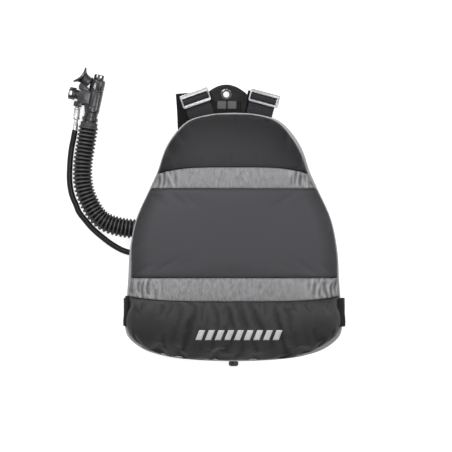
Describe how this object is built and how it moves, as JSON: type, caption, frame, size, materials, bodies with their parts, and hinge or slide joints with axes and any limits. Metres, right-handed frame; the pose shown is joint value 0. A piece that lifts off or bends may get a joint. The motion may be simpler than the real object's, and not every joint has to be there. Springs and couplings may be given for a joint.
{
  "type": "buoyancy compensator vest",
  "caption": "Back-mounted buoyancy compensator vest: padded air-cell cover with mesh bands, webbing harness, dump valve and corrugated hose with power inflator, lying on its harness side.",
  "frame": {"origin": "on the lumbar pad's flat underside, at the middle of the waist belt's width, which is where the vest rests on the floor", "axes": "+Y towards the head end, +Z out of the back of the vest, +X to the right as seen from behind with the head end up"},
  "size_m": [0.5355, 0.5751, 0.105],
  "materials": {
    "charcoal_fabric": "coated nylon",
    "graphite_fabric": "coated nylon",
    "mesh_fabric": "open woven mesh",
    "pouch_fabric": "heavy woven nylon",
    "lining_fabric": "woven lining",
    "bladder_film": "coated bladder film",
    "black_webbing": "flat nylon webbing",
    "grey_webbing": "flat nylon webbing",
    "foam": "closed-cell foam with a knit skin",
    "plate_plastic": "satin",
    "steel": "tumbled stainless",
    "black_plastic": "moulded",
    "rubber": "moulded",
    "hose_rubber": "matt"
  },
  "bodies": {
    "root": {"upper_panel": "charcoal_fabric", "middle_panel": "graphite_fabric", "upper_mesh_band": "mesh_fabric", "lower_mesh_band": "mesh_fabric", "lower_pouch_panel": "pouch_fabric", "front_cover": "lining_fabric", "air_cell": "bladder_film", "front_strap_left": "black_webbing", "front_strap_right": "black_webbing", "spine_strap": "black_webbing", "waist_belt": "black_webbing", "belt_loop_left": "black_webbing", "belt_loop_right": "black_webbing", "back_strap_left": "grey_webbing", "back_strap_right": "grey_webbing", "shoulder_pad": "foam", "lumbar_pad": "foam", "shoulder_plate": "plate_plastic", "lumbar_plate": "plate_plastic", "shoulder_eyelet": "steel", "shoulder_slide_left": "steel", "shoulder_slide_right": "steel", "plate_screw_left": "steel", "plate_screw_right": "steel", "waist_buckle_frame": "steel", "waist_buckle_pin": "steel", "d_ring_keeper_left": "steel", "d_ring_keeper_right": "steel", "dump_spring": "steel", "lp_end_fitting": "steel", "deflate_spring": "steel", "inflate_spring": "steel", "lp_ferrule": "steel", "lp_nipple": "steel", "dump_valve_housing": "black_plastic", "dump_valve_cap": "black_plastic", "hose_elbow": "black_plastic", "elbow_lock_ring": "black_plastic", "hose_tie_lower": "black_plastic", "hose_tie_upper": "black_plastic", "inflator_body": "black_plastic", "inflator_top_cap": "black_plastic", "mouthpiece": "rubber", "corrugated_hose": "hose_rubber", "lp_hose": "hose_rubber"},
    "deflate_button": {"deflate_button": "black_plastic"},
    "inflate_button": {"inflate_button": "black_plastic"},
    "coupler_sleeve": {"quick_connect_sleeve": "steel"},
    "dump_pull": {"dump_pull_cord": "black_webbing", "dump_pull_knob": "rubber"},
    "dump_poppet": {"dump_poppet": "rubber"},
    "buckle_lever": {"waist_buckle_lever": "steel"},
    "d_ring_left": {"d_ring_left": "steel"},
    "d_ring_right": {"d_ring_right": "steel"}
  },
  "joints": [
    {"name": "deflate_button_slide", "type": "slide", "parent": "root", "child": "deflate_button", "axis": [-0.2113, -0.9774, 0], "range_m": [0, 0.005], "stiffness_N_per_m": 900, "springref_m": -0.003, "deforming": ["deflate_spring"]},
    {"name": "inflate_button_slide", "type": "slide", "parent": "root", "child": "inflate_button", "axis": [0.9774, -0.2113, 0], "range_m": [0, 0.003], "stiffness_N_per_m": 1200, "springref_m": -0.003, "deforming": ["inflate_spring"]},
    {"name": "coupler_sleeve_slide", "type": "slide", "parent": "root", "child": "coupler_sleeve", "axis": [-0.0906, -0.9959, 0], "range_m": [0, 0.005], "stiffness_N_per_m": 1200, "springref_m": -0.003},
    {"name": "dump_pull_slide", "type": "slide", "parent": "root", "child": "dump_pull", "axis": [0, -1, 0], "range_m": [0, 0.012], "stiffness_N_per_m": 300, "springref_m": -0.01, "deforming": ["dump_spring"]},
    {"name": "dump_poppet_slide", "type": "slide", "parent": "root", "child": "dump_poppet", "axis": [0, 0, -1], "range_m": [0, 0.003]},
    {"name": "waist_buckle_lever_hinge", "type": "hinge", "parent": "root", "child": "buckle_lever", "pos_m": [-0.12, 0, 0.008], "axis": [0, 1, 0], "range_deg": [0, 28]},
    {"name": "d_ring_left_hinge", "type": "hinge", "parent": "root", "child": "d_ring_left", "pos_m": [-0.0766, 0.26285, 0.007], "axis": [1, 0, 0], "range_deg": [0, 40]},
    {"name": "d_ring_right_hinge", "type": "hinge", "parent": "root", "child": "d_ring_right", "pos_m": [0.0586, 0.26285, 0.007], "axis": [1, 0, 0], "range_deg": [0, 40]}
  ],
  "couplings": [
    {"joint": "dump_poppet_slide", "follows": "dump_pull_slide", "ratio": 0.25}
  ]
}
